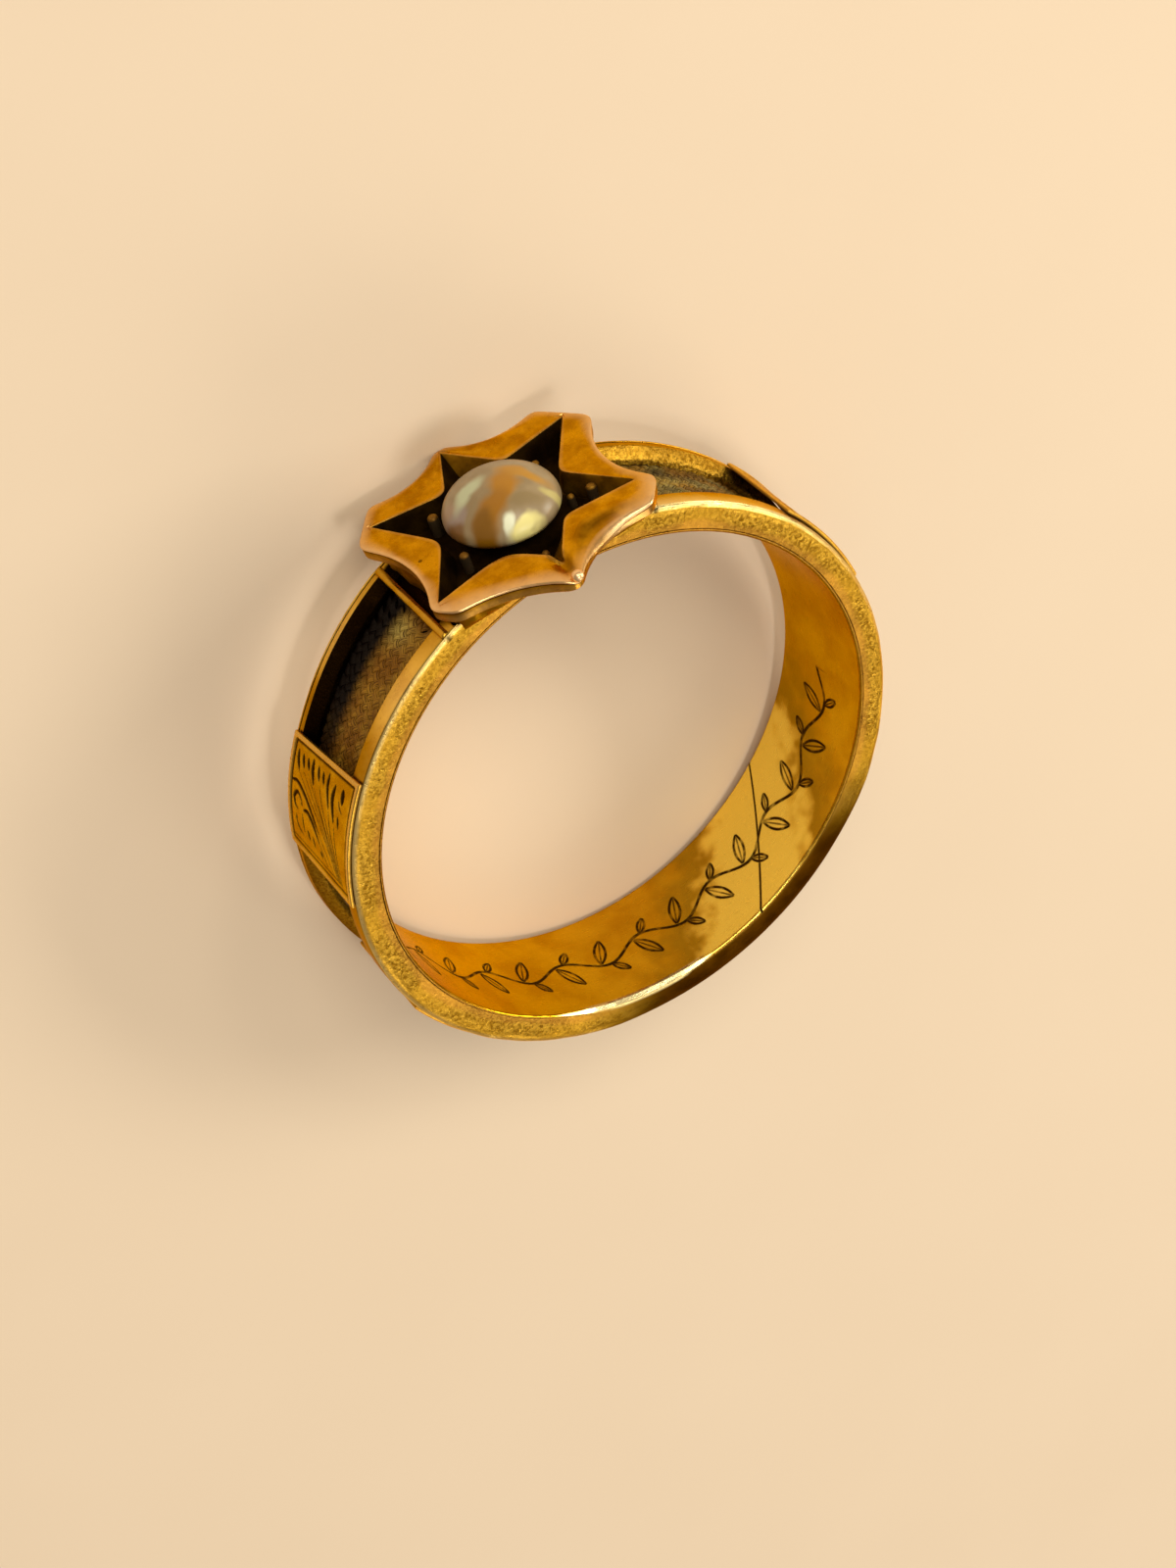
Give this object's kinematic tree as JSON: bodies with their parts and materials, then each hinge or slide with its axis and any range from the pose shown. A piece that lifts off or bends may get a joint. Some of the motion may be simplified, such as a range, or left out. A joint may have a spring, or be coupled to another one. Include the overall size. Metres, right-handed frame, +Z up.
{
  "type": "mourning ring",
  "caption": "Gold mourning ring: channel band holding woven hair under engraved plaques, with a star-shaped head and a pearl.",
  "frame": {"origin": "centre of the finger bore, half way along the band's width", "axes": "+Z up from the surface that the ring lies on; the star head looks towards -Y and is raised by the ring's own rest tilt, so the bore's axis leans 5.42 degrees from +Z towards +Y; +X along the hoop's width from side to side"},
  "size_m": [0.019, 0.0207, 0.0084],
  "materials": {
    "polished_gold": "polished yellow gold with fine wear lines",
    "filed_gold": "yellow gold with fine file marks, smoother on the rails",
    "woven_hair": "brown hair in a flat plain weave",
    "star_gold": "satin yellow gold, lighter on the worn rim and dark in the pocket",
    "pearl_nacre": "grey and cream nacre with a soft lustre",
    "engraved_gold": "yellow gold with dark engraved leaves and scrolls"
  },
  "bodies": {
    "root": {"liner": "polished_gold", "channel_band": "filed_gold", "hair_plait": "woven_hair", "star_head": "star_gold", "pearl": "pearl_nacre", "plaque_1": "engraved_gold", "plaque_2": "engraved_gold", "plaque_3": "engraved_gold", "plaque_4": "engraved_gold", "plaque_5": "engraved_gold"}
  },
  "joints": []
}
